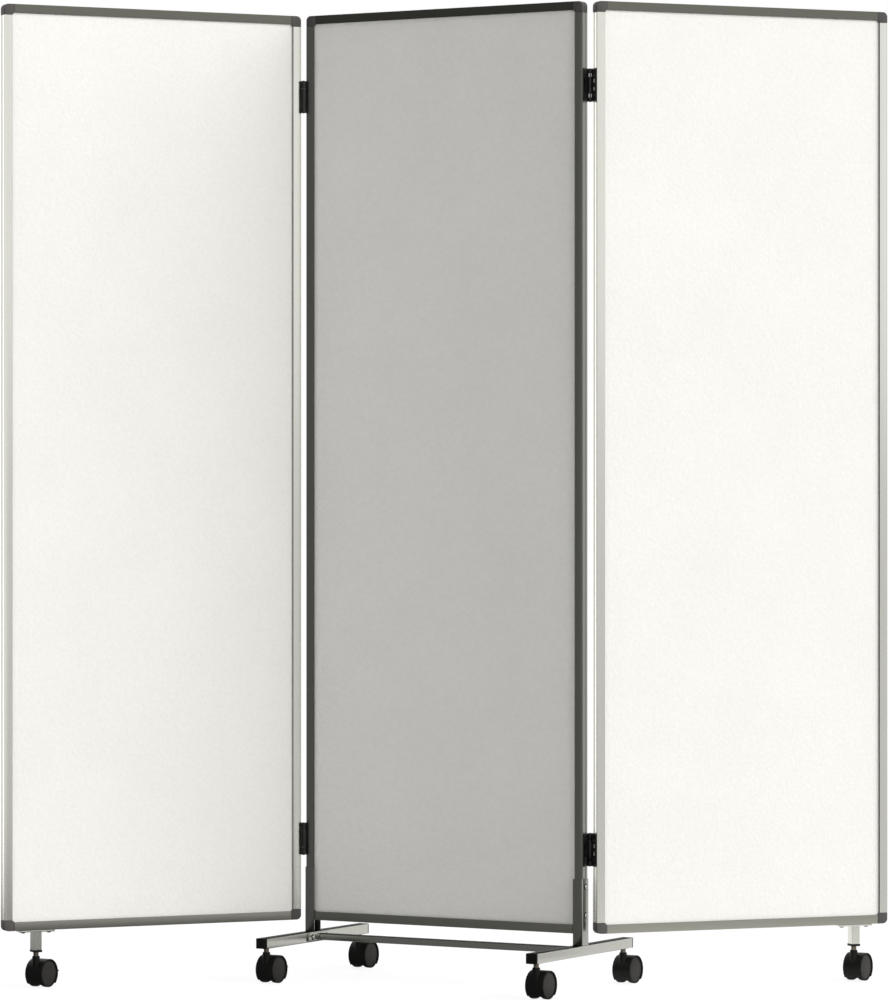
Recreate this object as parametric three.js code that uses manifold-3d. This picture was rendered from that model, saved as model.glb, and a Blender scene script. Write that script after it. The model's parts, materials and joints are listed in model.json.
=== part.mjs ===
// Ward privacy screen on wheels: three framed boards hinged in a zig-zag, the middle one on a base.
// Millimetres, +Z up. X runs along the middle panel, whose front faces -Y.
// The origin is on the floor, at the centre of the box round the half folded screen.

import * as THREE from 'three';
import { mergeVertices } from 'three/addons/utils/BufferGeometryUtils.js';
import Module from 'manifold-3d';

const wasm = await Module();
wasm.setup();

// Panels: a board in a frame of four hollow rails, joined by plastic corner connectors
const panelWidth = 590;
const panelHeight = 1696;
const frameDepth = 20;
const railFace = 16;
const railWall = 1.5;
const sideGrooveWidth = 10;
const sideGrooveDepth = 1;
const boardThickness = 12;
const boardEngagement = 7.5;
const boardEdgeGap = 0.5;
const cornerLeg = 20;
const cornerRadius = 9;
const tongueLength = 22;

// Fold of each wing out of the plane of the middle panel, as the screen stands
const leftFoldAngle = 55.1;
const rightFoldAngle = 52.1;

// Hinges: the axis stands clear of the face on the inside of each fold
const hingeHalfGap = 3;
const hingeProud = 4.5;
const hingeHeight = 60;
const hingeInset = 152;
const leafThickness = 2;
const leafMargin = 1.5;
const leafWindowHeight = 22;
const leafWindowWidth = 10;
const leafWindowMargin = 3.5;
const barrelRadius = 5;
const pinRadius = 2;
const endKnuckleHeight = 8;
const middleKnuckleHeight = 31;
const knuckleGap = 0.4;
const pinClearance = 0.15;

// Base of the middle panel: two feet, each with an upright welded on it that holds a side rail,
// and a bar between the feet
const uprightHeight = 121;
const uprightFlange = 20.5;
const uprightSheet = 1.5;
const uprightBend = 2;
const panelLift = 21.5;
const footLength = 360;
const footWidth = 22.5;
const footHeight = 19;
const footWall = 1.5;
const footCapThickness = 3;
const footPlugLength = 8;
const casterInset = 15;
const barDepth = 20;
const barHeight = 12;
const barWall = 1.5;
const barPlateLength = 78;
const barPlateHeight = 15.3;
const barPlateThickness = 3;

// Wing legs: a short post welded to a flange that is screwed under the wing's bottom rail
const postInset = 65;
const postWidth = 16;
const postWall = 1.5;
const flangeLength = 68;
const flangeThickness = 3;
const postCapThickness = 4;
const postPlugLength = 10;

// Casters: a hooded housing that swivels on its stem, with two wheels on one axle.
// The angles run round the axle from straight back, over the top.
const casterHeight = 65.2;
const wheelRadius = 25;
const wheelWidth = 14.3;
const wheelChamfer = 2.5;
const wheelGap = 0.6;
const axleRadius = 3;
const axleClearance = 0.3;
const casterTrail = 18;
const webThickness = 5;
const hoodWall = 1.2;
const hoodOverhang = 0.6;
const webRadius = 20;
const neckRadius = 7;
const neckTop = 58;
const collarRadius = 5;
const stemRadius = 4;
const stemLength = 10;
const hoodBackAngle = -15;
const hoodFrontAngle = 215;
const webStartAngle = 240;
const webEndAngle = 320;

// Brakes of two casters: a pedal whose barrel lies in a slot of the hood, close to the treads
const brakeAngle = 8;
const brakeBarrelRadius = 1.8;
const brakePinRadius = 1;
const brakePinClearance = 0.2;
const pedalWidth = 26;
const pedalLength = 12.5;
const pedalThickness = 2.2;
const pedalSlopeAngle = 7;
const earWidth = 2.2;
const earRadius = 2.4;

// Fits and facets
const fitGap = 0.3;
const overrun = 5;
const wheelFacets = 24;
const barrelFacets = 20;
const pinFacets = 12;
const arcSteps = 6;

const degree = Math.PI / 180;
const quarterTurn = Math.PI / 2;

// Levels above the floor
const footBase = casterHeight + fitGap;
const footTop = footBase + footHeight;
const panelBottom = footTop + panelLift;
const panelTop = panelBottom + panelHeight;

// Places across the panel, measured inwards from its outer edge
const boardEdge = railFace - boardEngagement;
const grooveFloor = boardEdge - boardEdgeGap;
const chamberOuter = sideGrooveDepth + railWall;
const chamberInner = grooveFloor - railWall;
const chamberHalf = frameDepth / 2 - railWall;
const grooveHalf = boardThickness / 2 + fitGap;

// Places of the hinge axes and the feet
const axisX = panelWidth / 2 + hingeHalfGap;
const axisY = frameDepth / 2 + hingeProud;
const channelOuterX = panelWidth / 2 + fitGap + uprightSheet;
const channelOuterY = frameDepth / 2 + fitGap + uprightSheet;
const footX = channelOuterX - footWidth / 2;
const footCasterY = footLength / 2 - casterInset;

// The pivot of a brake pedal, from the swivel axis of its caster and the floor
const brakeReach = wheelRadius + wheelGap + brakeBarrelRadius;
const brakeY = casterTrail + brakeReach * Math.cos(brakeAngle * degree);
const brakeZ = wheelRadius + brakeReach * Math.sin(brakeAngle * degree);

const paint = (color, roughness, metalness) => () =>
  new THREE.MeshStandardMaterial({ color, roughness, metalness });
const aluminium = paint(0xc4c5bd, 0.42, 0.9);
const whiteBoard = paint(0xf2f2ec, 0.75, 0);
const cornerPlastic = paint(0x4c4a4a, 0.55, 0);
const blackPlastic = paint(0x151515, 0.45, 0);
const hingeBlack = paint(0x1a1918, 0.4, 0.5);
const wheelGrey = paint(0x363533, 0.6, 0);

function toManifold(geometry) {
  const bare = geometry.clone();
  bare.deleteAttribute('normal');
  bare.deleteAttribute('uv');
  const merged = mergeVertices(bare);
  return new wasm.Manifold(new wasm.Mesh({
    numProp: 3,
    vertProperties: new Float32Array(merged.attributes.position.array),
    triVerts: new Uint32Array(merged.index.array),
  }));
}

function toGeometry(manifold) {
  const mesh = manifold.getMesh();
  const geometry = new THREE.BufferGeometry();
  geometry.setAttribute('position', new THREE.BufferAttribute(new Float32Array(mesh.vertProperties), 3));
  geometry.setIndex(new THREE.BufferAttribute(new Uint32Array(mesh.triVerts), 1));
  geometry.computeVertexNormals();
  return geometry;
}

function combine(joined, cut = []) {
  let solid = toManifold(joined[0]);
  for (const piece of joined.slice(1)) {
    solid = solid.add(toManifold(piece));
  }
  for (const tool of cut) {
    solid = solid.subtract(toManifold(tool));
  }
  return toGeometry(solid);
}

// A box given by its lowest and highest corners
function block(low, high) {
  const size = high.map((value, index) => value - low[index]);
  const middle = high.map((value, index) => (value + low[index]) / 2);
  return new THREE.BoxGeometry(...size).translate(...middle);
}

// An upright cylinder from one level to another
function post(radius, from, to, x, y, facets) {
  return new THREE.CylinderGeometry(radius, radius, to - from, facets)
    .rotateX(quarterTurn)
    .translate(x, y, (from + to) / 2);
}

// A cylinder along X from one side to another, at a place of the caster
function crosswise(radius, from, to, y, z, facets) {
  return new THREE.CylinderGeometry(radius, radius, to - from, facets)
    .rotateZ(quarterTurn)
    .translate((from + to) / 2, y, z);
}

// An outline drawn in X and Z, extruded along Y round the middle plane
function extrudeAcrossY(shape, depth) {
  return new THREE.ExtrudeGeometry(shape, { depth, bevelEnabled: false, curveSegments: arcSteps })
    .rotateX(quarterTurn)
    .translate(0, depth / 2, 0);
}

function outline(points) {
  return new THREE.Shape(points.map(([x, y]) => new THREE.Vector2(x, y)));
}

function place(parent, name, geometry, material, position = [0, 0, 0], turn = [0, 0, 0]) {
  const mesh = new THREE.Mesh(geometry, material());
  mesh.name = name;
  mesh.position.set(...position);
  mesh.rotation.set(...turn);
  parent.add(mesh);
  return mesh;
}

// A rail runs along its own Z. Its X points from the panel's outer edge to the board.
function railGeometry(length) {
  const half = frameDepth / 2;
  const sideHalf = sideGrooveWidth / 2;
  const shape = outline([
    [0, -half],
    [railFace, -half],
    [railFace, -grooveHalf],
    [grooveFloor, -grooveHalf],
    [grooveFloor, grooveHalf],
    [railFace, grooveHalf],
    [railFace, half],
    [0, half],
    [0, sideHalf],
    [sideGrooveDepth, sideHalf],
    [sideGrooveDepth, -sideHalf],
    [0, -sideHalf],
  ]);
  shape.holes.push(outline([
    [chamberOuter, -chamberHalf],
    [chamberOuter, chamberHalf],
    [chamberInner, chamberHalf],
    [chamberInner, -chamberHalf],
  ]));
  return new THREE.ExtrudeGeometry(shape, { depth: length, bevelEnabled: false });
}

// A corner connector: its outer corner is the origin and its legs run along +X and +Z
function cornerGeometry() {
  const shape = new THREE.Shape();
  shape.moveTo(cornerRadius, 0);
  shape.lineTo(cornerLeg, 0);
  shape.lineTo(cornerLeg, railFace);
  shape.lineTo(railFace, cornerLeg);
  shape.lineTo(0, cornerLeg);
  shape.lineTo(0, cornerRadius);
  shape.absarc(cornerRadius, cornerRadius, cornerRadius, Math.PI, 3 * quarterTurn, false);
  const near = chamberOuter + fitGap;
  const far = chamberInner - fitGap;
  const half = chamberHalf - fitGap;
  const root = cornerLeg - railWall;
  const tip = cornerLeg + tongueLength;
  const boardRoom = boardEdge - boardEdgeGap;
  return combine(
    [
      extrudeAcrossY(shape, frameDepth),
      block([root, -half, near], [tip, half, far]),
      block([near, -half, root], [far, half, tip]),
    ],
    [block([boardRoom, -grooveHalf, boardRoom], [cornerLeg + overrun, grooveHalf, cornerLeg + overrun])],
  );
}

// One framed board. Its lower left corner is the group's origin, and Y is its middle plane.
function addPanel(parent, prefix, sides, x, y) {
  const panel = new THREE.Group();
  panel.position.set(x, y, panelBottom);
  parent.add(panel);
  const railStart = cornerLeg + fitGap;
  const upright = railGeometry(panelHeight - 2 * railStart);
  const level = railGeometry(panelWidth - 2 * railStart);
  place(panel, `${prefix}_${sides[0]}_rail`, upright, aluminium, [0, 0, railStart]);
  place(panel, `${prefix}_${sides[1]}_rail`, upright, aluminium, [panelWidth, 0, railStart], [0, 0, Math.PI]);
  place(panel, `${prefix}_bottom_rail`, level, aluminium, [panelWidth - railStart, 0, 0], [0, -quarterTurn, 0]);
  place(panel, `${prefix}_top_rail`, level, aluminium, [railStart, 0, panelHeight], [0, quarterTurn, 0]);
  const corner = cornerGeometry();
  place(panel, `${prefix}_bottom_${sides[0]}_corner`, corner, cornerPlastic);
  place(panel, `${prefix}_bottom_${sides[1]}_corner`, corner, cornerPlastic,
    [panelWidth, 0, 0], [0, -quarterTurn, 0]);
  place(panel, `${prefix}_top_${sides[1]}_corner`, corner, cornerPlastic,
    [panelWidth, 0, panelHeight], [0, Math.PI, 0]);
  place(panel, `${prefix}_top_${sides[0]}_corner`, corner, cornerPlastic,
    [0, 0, panelHeight], [0, quarterTurn, 0]);
  const board = block(
    [boardEdge, -boardThickness / 2, boardEdge],
    [panelWidth - boardEdge, boardThickness / 2, panelHeight - boardEdge],
  );
  place(panel, `${prefix}_board`, board, whiteBoard);
}

// A hinge leaf on its own axis, for the side of the joint that the sign gives.
// The leaf lies on the side of the rail, with a window in it, and the knuckles stand behind its corner.
function leafGeometry(side, bands, extra, cut) {
  const outer = side * (hingeHalfGap - fitGap);
  const inner = outer - side * leafThickness;
  const [lowX, highX] = [Math.min(outer, inner), Math.max(outer, inner)];
  const farY = -(hingeProud + frameDepth - leafMargin);
  const nearY = -(barrelRadius + knuckleGap);
  const joined = [block([lowX, farY, -hingeHeight / 2], [highX, nearY, hingeHeight / 2])];
  for (const [from, to] of bands) {
    joined.push(block([lowX, nearY - railWall, from], [highX, 0, to]));
    joined.push(post(barrelRadius, from, to, 0, 0, barrelFacets));
  }
  const windowY = farY + leafWindowMargin;
  const opening = block(
    [lowX - overrun, windowY, -leafWindowHeight / 2],
    [highX + overrun, windowY + leafWindowWidth, leafWindowHeight / 2],
  );
  return combine([...joined, ...extra], [opening, ...cut]);
}

function pinLeafGeometry() {
  const end = hingeHeight / 2;
  const bands = [
    [-end, -end + endKnuckleHeight],
    [end - endKnuckleHeight, end],
  ];
  return leafGeometry(-1, bands, [post(pinRadius, -end, end, 0, 0, barrelFacets)], []);
}

function wingLeafGeometry() {
  const half = middleKnuckleHeight / 2;
  const bore = post(pinRadius + pinClearance, -half - overrun, half + overrun, 0, 0, barrelFacets);
  return leafGeometry(1, [[-half, half]], [], [bore]);
}

// Two hinges on one side of the middle panel. The right pair is turned half round to make the left one.
function addHinges(middle, wing, name, turn) {
  const levels = { lower: panelBottom + hingeInset, upper: panelTop - hingeInset };
  const pinLeaf = pinLeafGeometry();
  const wingLeaf = wingLeafGeometry();
  const side = turn === 0 ? 1 : -1;
  for (const [level, z] of Object.entries(levels)) {
    const at = [side * axisX, side * axisY, z];
    place(middle, `${name}_${level}_hinge_pin_leaf`, pinLeaf, hingeBlack, at, [0, 0, turn]);
    place(wing, `${name}_${level}_hinge_wing_leaf`, wingLeaf, hingeBlack, [0, 0, z], [0, 0, turn]);
  }
}

// The right upright, a U-shaped channel that is open towards the middle of the panel.
// Its lower end is half way into the top wall of the foot, where it is welded.
function uprightGeometry() {
  const innerX = channelOuterX - uprightFlange;
  const shape = new THREE.Shape();
  shape.moveTo(innerX, -channelOuterY);
  shape.lineTo(channelOuterX - uprightBend, -channelOuterY);
  shape.absarc(channelOuterX - uprightBend, uprightBend - channelOuterY, uprightBend, -quarterTurn, 0, false);
  shape.lineTo(channelOuterX, channelOuterY - uprightBend);
  shape.absarc(channelOuterX - uprightBend, channelOuterY - uprightBend, uprightBend, 0, quarterTurn, false);
  shape.lineTo(innerX, channelOuterY);
  shape.lineTo(innerX, channelOuterY - uprightSheet);
  shape.lineTo(channelOuterX - uprightSheet, channelOuterY - uprightSheet);
  shape.lineTo(channelOuterX - uprightSheet, uprightSheet - channelOuterY);
  shape.lineTo(innerX, uprightSheet - channelOuterY);
  const depth = uprightHeight + footWall / 2;
  return new THREE.ExtrudeGeometry(shape, { depth, bevelEnabled: false, curveSegments: arcSteps })
    .translate(-footX, 0, footHeight - footWall / 2);
}

// The right foot: a tube along Y with its upright, and a hole for each caster stem in its underside
function footGeometry() {
  const halfWidth = footWidth / 2;
  const halfLength = footLength / 2;
  const holeRadius = stemRadius + fitGap;
  const stemHoles = [-footCasterY, footCasterY].map((y) =>
    post(holeRadius, -overrun, footWall + overrun, 0, y, barrelFacets));
  return combine(
    [block([-halfWidth, -halfLength, 0], [halfWidth, halfLength, footHeight]), uprightGeometry()],
    [
      block(
        [footWall - halfWidth, -halfLength - overrun, footWall],
        [halfWidth - footWall, halfLength + overrun, footHeight - footWall],
      ),
      ...stemHoles,
    ],
  );
}

// An end cap at the +Y end of a foot: a flat head with a plug in the tube
function footCapGeometry() {
  const halfWidth = footWidth / 2;
  const plugHalf = halfWidth - footWall - fitGap;
  const low = footWall + fitGap;
  const high = footHeight - footWall - fitGap;
  const face = footLength / 2 + fitGap;
  return combine([
    block([-halfWidth, face, 0], [halfWidth, face + footCapThickness, footHeight]),
    block([-plugHalf, face - footPlugLength, low], [plugHalf, face + footCapThickness / 2, high]),
  ]);
}

// The bar between the feet, with a plate for two bolts at each end
function crossbarGeometry() {
  const end = footX - footWidth / 2 - fitGap;
  const middleZ = footHeight / 2;
  const plates = [-1, 1].map((side) => {
    const inner = side * (end - barPlateThickness);
    const outer = side * end;
    return block(
      [Math.min(inner, outer), -barPlateLength / 2, middleZ - barPlateHeight / 2],
      [Math.max(inner, outer), barPlateLength / 2, middleZ + barPlateHeight / 2],
    );
  });
  const low = middleZ - barHeight / 2;
  const high = middleZ + barHeight / 2;
  const inside = end - barPlateThickness / 2;
  const bore = block(
    [-end - overrun, barWall - barDepth / 2, low + barWall],
    [end + overrun, barDepth / 2 - barWall, high - barWall],
  );
  return combine([block([-inside, -barDepth / 2, low], [inside, barDepth / 2, high]), ...plates], [bore]);
}

function addBase(middle) {
  const foot = footGeometry();
  const cap = footCapGeometry();
  for (const [name, side] of [['left', -1], ['right', 1]]) {
    const turn = side < 0 ? Math.PI : 0;
    place(middle, `${name}_foot`, foot, aluminium, [side * footX, 0, footBase], [0, 0, turn]);
    place(middle, `${name}_foot_front_cap`, cap, blackPlastic, [side * footX, 0, footBase], [0, 0, Math.PI]);
    place(middle, `${name}_foot_back_cap`, cap, blackPlastic, [side * footX, 0, footBase]);
  }
  place(middle, 'crossbar', crossbarGeometry(), aluminium, [0, 0, footBase]);
}

// A wing's leg stands on its own swivel axis: the origin is on that axis, on the floor
function postGeometry() {
  const tubeBase = footBase + postCapThickness + fitGap;
  const flangeTop = panelBottom - fitGap;
  const flangeBase = flangeTop - flangeThickness;
  const halfWidth = postWidth / 2;
  const half = frameDepth / 2;
  return combine(
    [
      block([-halfWidth, -half, tubeBase], [halfWidth, half, flangeBase + flangeThickness / 2]),
      block([-flangeLength / 2, -half, flangeBase], [flangeLength / 2, half, flangeTop]),
    ],
    [
      block(
        [postWall - halfWidth, postWall - half, tubeBase - overrun],
        [halfWidth - postWall, half - postWall, flangeBase],
      ),
    ],
  );
}

function postCapGeometry() {
  const halfWidth = postWidth / 2;
  const half = frameDepth / 2;
  const plugWidth = halfWidth - postWall - fitGap;
  const plugDepth = half - postWall - fitGap;
  const headTop = footBase + postCapThickness;
  const plugTop = headTop + postPlugLength;
  return combine(
    [
      block([-halfWidth, -half, footBase], [halfWidth, half, headTop]),
      block([-plugWidth, -plugDepth, headTop - postCapThickness / 2], [plugWidth, plugDepth, plugTop]),
    ],
    [post(stemRadius + fitGap, footBase - overrun, plugTop + overrun, 0, 0, barrelFacets)],
  );
}

// The ears on the hood that carry a brake pedal, the slot for its barrel and the holes for its pin
function brakeSeat() {
  const slotEnd = pedalWidth / 2 + fitGap;
  const earEnd = slotEnd + earWidth;
  const across = (radius, from, to, facets) => crosswise(radius, from, to, brakeY, brakeZ, facets);
  return {
    joined: [
      across(earRadius, -earEnd, -slotEnd, barrelFacets),
      across(earRadius, slotEnd, earEnd, barrelFacets),
    ],
    cut: [
      across(brakeBarrelRadius + fitGap, -slotEnd, slotEnd, barrelFacets),
      across(brakePinRadius + brakePinClearance, -earEnd - overrun, earEnd + overrun, pinFacets),
    ],
  };
}

// A brake pedal on its own pivot: the tongue slopes down behind it, and the pin ends in the ears
function pedalGeometry() {
  const half = pedalWidth / 2;
  const pinEnd = half + fitGap + earWidth;
  const tongue = block(
    [-half, 0, -pedalThickness / 2],
    [half, pedalLength, pedalThickness / 2],
  ).rotateX(-pedalSlopeAngle * degree);
  return combine([
    crosswise(brakeBarrelRadius, -half, half, 0, 0, barrelFacets),
    crosswise(brakePinRadius, -pinEnd, pinEnd, 0, 0, pinFacets),
    tongue,
  ]);
}

// A caster stands on its swivel axis, and its wheels trail towards +Y.
// The side outline runs over the wheels as a hood and under the axle as the web between them.
function housingGeometry(braked) {
  const hoodRadius = wheelRadius + wheelGap + hoodWall;
  const halfWidth = webThickness / 2 + wheelGap + wheelWidth + hoodOverhang;
  const shape = new THREE.Shape();
  shape.absarc(0, 0, hoodRadius, hoodBackAngle * degree, hoodFrontAngle * degree, false);
  shape.absarc(0, 0, webRadius, webStartAngle * degree, webEndAngle * degree, false);
  const hood = new THREE.ExtrudeGeometry(shape, {
    depth: 2 * halfWidth,
    bevelEnabled: false,
    curveSegments: wheelFacets,
  });
  hood.translate(0, 0, -halfWidth).rotateY(quarterTurn).rotateX(quarterTurn);
  hood.translate(0, casterTrail, wheelRadius);
  const web = webThickness / 2;
  const outside = halfWidth + overrun;
  const pockets = [[-outside, -web], [web, outside]].map(([from, to]) =>
    crosswise(wheelRadius + wheelGap, from, to, casterTrail, wheelRadius, wheelFacets));
  const axleHole = crosswise(
    axleRadius + axleClearance, -outside, outside, casterTrail, wheelRadius, barrelFacets,
  );
  const seat = braked ? brakeSeat() : { joined: [], cut: [] };
  const body = combine(
    [hood, post(neckRadius, wheelRadius, neckTop, 0, 0, barrelFacets), ...seat.joined],
    [...pockets, axleHole, ...seat.cut],
  );
  return combine([
    body,
    post(collarRadius, neckTop - hoodWall, casterHeight, 0, 0, barrelFacets),
    post(stemRadius, neckTop, casterHeight + stemLength, 0, 0, barrelFacets),
  ]);
}

// Both wheels and their axle, turned about X
function wheelsGeometry() {
  const inner = webThickness / 2 + wheelGap;
  const outer = inner + wheelWidth;
  const rim = wheelRadius - wheelChamfer;
  const profile = [
    [0, -outer],
    [rim, -outer],
    [wheelRadius, wheelChamfer - outer],
    [wheelRadius, -inner - wheelChamfer],
    [rim, -inner],
    [axleRadius, -inner],
    [axleRadius, inner],
    [rim, inner],
    [wheelRadius, inner + wheelChamfer],
    [wheelRadius, outer - wheelChamfer],
    [rim, outer],
    [0, outer],
  ].map(([x, y]) => new THREE.Vector2(x, y));
  const lathe = new THREE.LatheGeometry(profile, wheelFacets);
  return toGeometry(toManifold(lathe.rotateZ(-quarterTurn)));
}

function addCaster(parent, name, x, y, turn, braked) {
  const caster = new THREE.Group();
  caster.position.set(x, y, 0);
  caster.rotation.z = turn;
  parent.add(caster);
  place(caster, `${name}_caster_housing`, housingGeometry(braked), blackPlastic);
  place(caster, `${name}_caster_wheels`, wheelsGeometry(), wheelGrey, [0, casterTrail, wheelRadius]);
  if (braked) {
    place(caster, `${name}_caster_brake_pedal`, pedalGeometry(), blackPlastic, [0, brakeY, brakeZ]);
  }
}

// A wing's group turns about its hinge axis. The side is -1 for the left wing and 1 for the right one.
function addWing(parent, name, side, fold) {
  const wing = new THREE.Group();
  wing.position.set(side * axisX, side * axisY, 0);
  wing.rotation.z = fold * degree;
  parent.add(wing);
  const innerEdge = side * hingeHalfGap;
  const outerEdge = innerEdge + side * panelWidth;
  const middlePlane = -side * axisY;
  const sides = side < 0 ? ['outer', 'inner'] : ['inner', 'outer'];
  addPanel(wing, `${name}_panel`, sides, Math.min(innerEdge, outerEdge), middlePlane);
  const legX = outerEdge - side * postInset;
  place(wing, `${name}_wing_post`, postGeometry(), aluminium, [legX, middlePlane, 0]);
  place(wing, `${name}_wing_post_cap`, postCapGeometry(), blackPlastic, [legX, middlePlane, 0]);
  addCaster(wing, `${name}_wing`, legX, middlePlane, -fold * degree, side < 0);
  return wing;
}

const screen = new THREE.Group();
const middle = new THREE.Group();
screen.add(middle);
addPanel(middle, 'middle_panel', ['left', 'right'], -panelWidth / 2, 0);
addBase(middle);
for (const [name, side] of [['left', -1], ['right', 1]]) {
  addCaster(middle, `${name}_front`, side * footX, -footCasterY, 0, side < 0);
  addCaster(middle, `${name}_back`, side * footX, footCasterY, 0, false);
}
const leftWing = addWing(screen, 'left', -1, leftFoldAngle);
const rightWing = addWing(screen, 'right', 1, rightFoldAngle);
addHinges(middle, leftWing, 'left', Math.PI);
addHinges(middle, rightWing, 'right', 0);

// The box round the half folded screen is centred over the origin
const group = new THREE.Group();
group.add(screen);
group.updateMatrixWorld(true);
const span = new THREE.Box3().setFromObject(screen, true);
const centre = span.getCenter(new THREE.Vector3());
screen.position.set(-centre.x, -centre.y, 0);

export default group;
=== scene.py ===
# %% [markdown]
# # A ward privacy screen on wheels
# Three framed boards stand in a zig-zag. The middle one has a base with two feet, and a wing is
# hinged to each side of it. Six swivel casters carry the screen.
# The CAD model already holds every piece at its real size and place. This script gives each piece its
# finish: rounded edges, drawn metal, moulded plastic, screws and light. It starts with the frame.

# %% Load the frame
import json
import math

import bmesh
import bpy
from mathutils import Matrix, Vector


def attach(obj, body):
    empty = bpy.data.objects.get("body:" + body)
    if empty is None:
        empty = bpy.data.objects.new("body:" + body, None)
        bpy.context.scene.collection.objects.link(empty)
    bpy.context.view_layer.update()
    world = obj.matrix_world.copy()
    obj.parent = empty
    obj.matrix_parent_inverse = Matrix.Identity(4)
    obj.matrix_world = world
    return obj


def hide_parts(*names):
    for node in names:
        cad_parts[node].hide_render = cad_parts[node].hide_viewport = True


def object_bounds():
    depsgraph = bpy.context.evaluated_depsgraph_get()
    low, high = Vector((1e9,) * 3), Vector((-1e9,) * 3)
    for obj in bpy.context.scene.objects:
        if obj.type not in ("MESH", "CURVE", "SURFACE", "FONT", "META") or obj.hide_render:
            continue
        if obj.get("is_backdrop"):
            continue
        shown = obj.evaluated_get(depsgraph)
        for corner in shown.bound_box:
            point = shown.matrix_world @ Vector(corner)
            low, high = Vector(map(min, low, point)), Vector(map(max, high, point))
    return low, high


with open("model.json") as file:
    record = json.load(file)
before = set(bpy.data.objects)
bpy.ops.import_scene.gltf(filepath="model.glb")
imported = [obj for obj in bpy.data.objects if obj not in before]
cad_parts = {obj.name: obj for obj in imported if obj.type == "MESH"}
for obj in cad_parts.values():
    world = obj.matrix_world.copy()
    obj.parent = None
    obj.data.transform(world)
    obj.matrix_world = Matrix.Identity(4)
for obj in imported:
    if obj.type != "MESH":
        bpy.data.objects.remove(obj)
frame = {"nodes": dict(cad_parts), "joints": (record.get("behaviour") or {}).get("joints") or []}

scene = bpy.context.scene
scene.view_settings.view_transform = "Standard"
cad_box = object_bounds()
print("the corners of the CAD box are", [[round(x, 3) for x in corner] for corner in cad_box])

# %% [markdown]
# ## Where things are
# A panel is easy to model with X along it, Y through it and Z up. The middle panel stands like that
# already. A wing is folded, so it has axes of its own: their origin is the hinge, and their turn is the
# fold. The fold's lower limit is where all the panels lie in line, so its opposite is the fold at rest.
# Measuring a CAD node along its own axes then gives its true length, width and height.

# %% The axes of each body, and a ruler for its nodes
MM = 0.001
TINY = 1e-6
X, Y, Z = Vector((1, 0, 0)), Vector((0, 1, 0)), Vector((0, 0, 1))
joints = {joint["name"]: joint for joint in frame["joints"]}
folds = {"stand": 0.0}
axes = {"stand": Matrix.Identity(4)}
for wing in ("left_wing", "right_wing"):
    hinge = joints[f"{wing}_fold"]
    folds[wing] = -math.radians(hinge["range_deg"][0])
    x, y, _ = hinge["pos_m"]
    axes[wing] = Matrix.Translation((x, y, 0)) @ Matrix.Rotation(folds[wing], 4, "Z")


def measure(node, body="stand"):
    """The lowest and highest corner of a CAD node along the axes of a body."""
    turn = axes[body].inverted()
    points = [turn @ vertex.co for vertex in frame["nodes"][node].data.vertices]
    low = Vector([min(point[i] for point in points) for i in range(3)])
    high = Vector([max(point[i] for point in points) for i in range(3)])
    return low, high


def basis(u, v, w, origin=(0, 0, 0)):
    """The matrix that lays a shape's X, Y and Z along u, v and w, from an origin."""
    matrix = Matrix((u, v, w)).transposed().to_4x4()
    matrix.translation = origin
    return matrix


print("the wings are folded by", [round(math.degrees(fold), 1) for fold in folds.values()], "degrees")

# %% [markdown]
# ## The camera
# The picture was taken from far away with a long lens, level with the middle of the screen and turned
# to the right of its front. A level camera keeps upright edges upright. The horizon isn't half way up
# the frame, so the lens is shifted a little, as an architect's camera is, rather than tilted.

# %% Camera
CAMERA_PLACE = (4.546, -7.825, 0.928)
CAMERA_TURN = math.radians(30.2)
LENS = 176.46
IMAGE_HEIGHT = 1000
HORIZON_PIXEL = 481.7

camera_data = bpy.data.cameras.new("camera")
camera_data.lens = LENS
camera_data.shift_y = (HORIZON_PIXEL - IMAGE_HEIGHT / 2) / IMAGE_HEIGHT
camera = bpy.data.objects.new("camera", camera_data)
camera.location = CAMERA_PLACE
camera.rotation_euler = (math.pi / 2, 0, CAMERA_TURN)
scene.collection.objects.link(camera)
scene.camera = camera
print("the lens is shifted by", round(camera_data.shift_y, 4), "of the frame")

# %% [markdown]
# ## Writing shaders as sums
# A material is a graph of nodes, and its arithmetic is hard to read as a list of links. So a small
# class wraps a socket, and `a * b + c` on such sockets adds the Math nodes. Everything else comes from
# one method that makes a node, sets it up and fills its sockets.

# %% Sockets with operators
class Wire:
    """An output socket. Adding to it or multiplying it makes Math nodes."""

    def __init__(self, finish, socket):
        self.finish = finish
        self.socket = socket

    def calculate(self, operation, other):
        return self.finish.node("ShaderNodeMath", {"operation": operation}, {0: self, 1: other})

    def __add__(self, other):
        return self.calculate("ADD", other)

    def __mul__(self, other):
        return self.calculate("MULTIPLY", other)

    __radd__ = __add__


print("sockets can be added and multiplied")


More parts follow.
